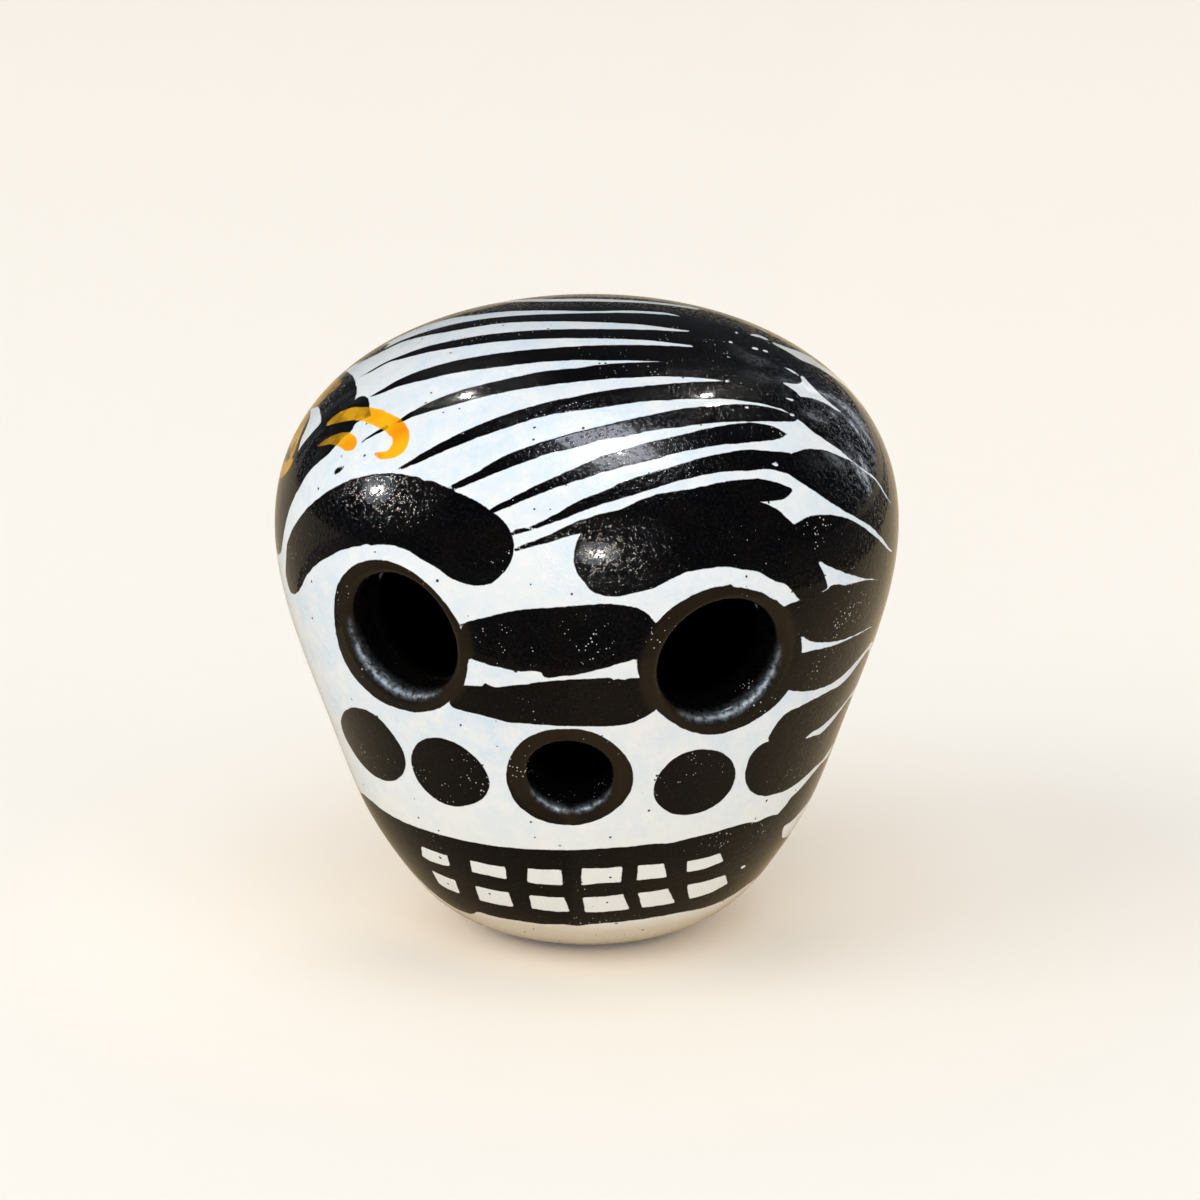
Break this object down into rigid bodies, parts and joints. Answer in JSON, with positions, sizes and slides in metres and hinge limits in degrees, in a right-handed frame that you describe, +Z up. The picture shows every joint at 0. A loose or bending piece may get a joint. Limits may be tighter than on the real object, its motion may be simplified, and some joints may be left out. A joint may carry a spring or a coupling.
{
  "type": "painted clay skull ornament",
  "caption": "Small hollow glazed clay skull with punched eye and nose holes and black brush-stroke decoration, standing on a flat foot.",
  "frame": {"origin": "under the middle of the skull's widest ring, on the surface that it stands on", "axes": "+Z up through the crown, the face looks along -Y, +X is the side at the viewer's right"},
  "size_m": [0.063, 0.0668, 0.064],
  "materials": {
    "face_glaze": "white slip, black and ochre brush strokes, clear gloss glaze",
    "back_glaze": "white slip, black brush strokes, clear gloss glaze",
    "bare_clay": "bare fired earthenware, matt"
  },
  "bodies": {
    "root": {"face_shell": "face_glaze", "back_shell": "back_glaze", "join_strip": "bare_clay"}
  },
  "joints": []
}
